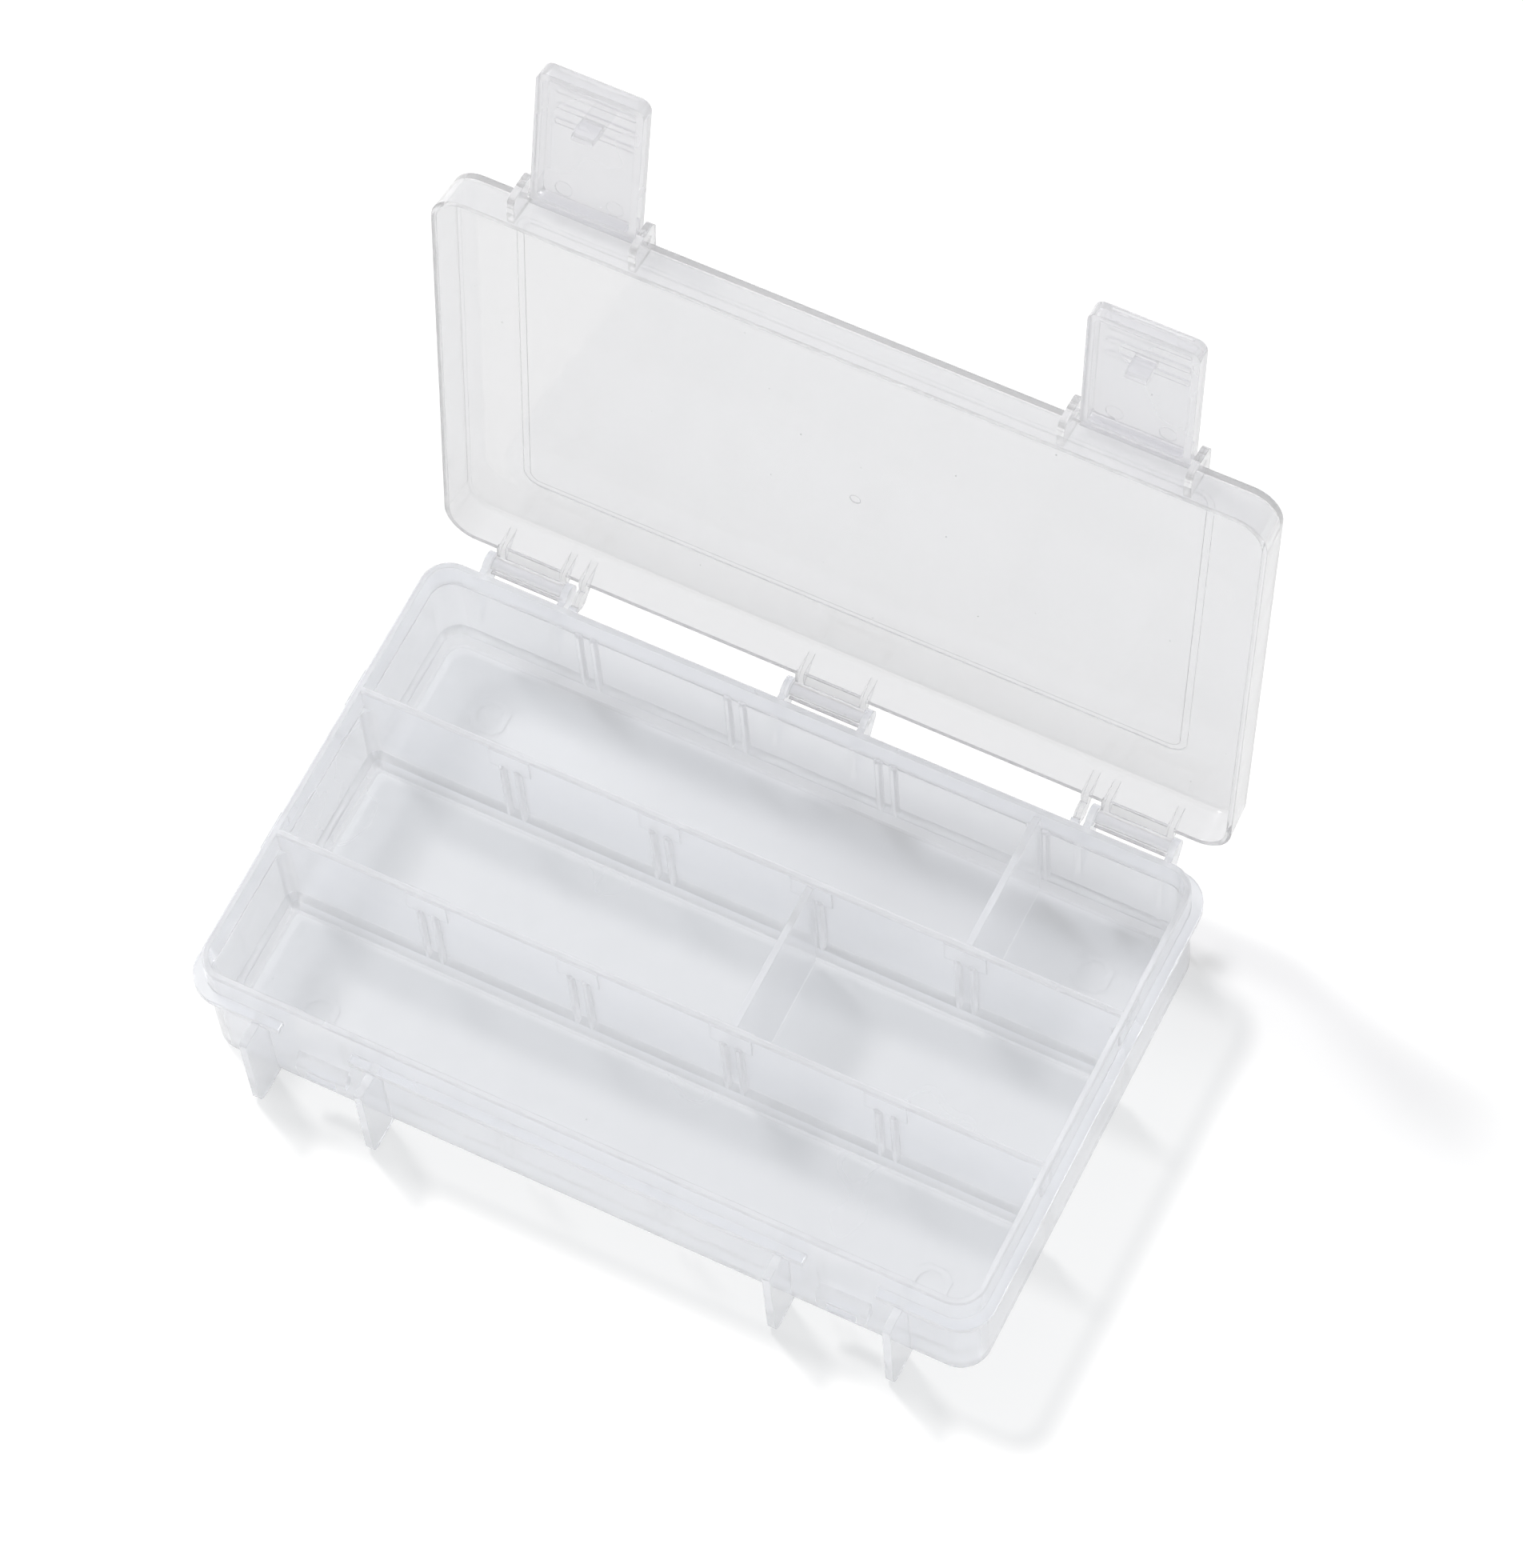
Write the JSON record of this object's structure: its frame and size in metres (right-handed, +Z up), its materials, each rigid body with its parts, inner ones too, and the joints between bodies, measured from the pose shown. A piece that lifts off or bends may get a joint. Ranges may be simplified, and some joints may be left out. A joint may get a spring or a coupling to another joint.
{
  "type": "tackle box",
  "caption": "Hinged clear plastic storage box with lengthwise rows, lift-out dividers in slots and two swinging latches.",
  "frame": {"origin": "centre of the tray's flat underside", "axes": "+X along the length to the right, +Y back towards the hinges, +Z up"},
  "size_m": [0.2286, 0.1965, 0.2241],
  "materials": {
    "base_tray": "glossy",
    "lid": "glossy",
    "latch_left": "glossy",
    "latch_right": "glossy",
    "divider_middle": "glossy",
    "divider_back": "glossy"
  },
  "bodies": {
    "tray": {"base_tray": "base_tray"},
    "lid": {"lid": "lid"},
    "latch_left": {"latch_left": "latch_left"},
    "latch_right": {"latch_right": "latch_right"},
    "divider_middle": {"divider_middle": "divider_middle"},
    "divider_back": {"divider_back": "divider_back"}
  },
  "joints": [
    {"name": "lid_hinge", "type": "hinge", "parent": "tray", "child": "lid", "pos_m": [0, 0.0754, 0.0341], "axis": [-1, 0, 0], "range_deg": [-97.7, 0]},
    {"name": "latch_left_hinge", "type": "hinge", "parent": "lid", "child": "latch_left", "pos_m": [-0.0751, 0.10562, 0.18002], "axis": [-1, 0, 0], "range_deg": [-96.8, 98.2]},
    {"name": "latch_right_hinge", "type": "hinge", "parent": "lid", "child": "latch_right", "pos_m": [0.0751, 0.10562, 0.18002], "axis": [-1, 0, 0], "range_deg": [-89.3, 105.7]},
    {"name": "divider_middle_lift", "type": "slide", "parent": "tray", "child": "divider_middle", "axis": [0, 0, 1], "range_m": [0, 0.042]},
    {"name": "divider_back_lift", "type": "slide", "parent": "tray", "child": "divider_back", "axis": [0, 0, 1], "range_m": [0, 0.042]}
  ]
}
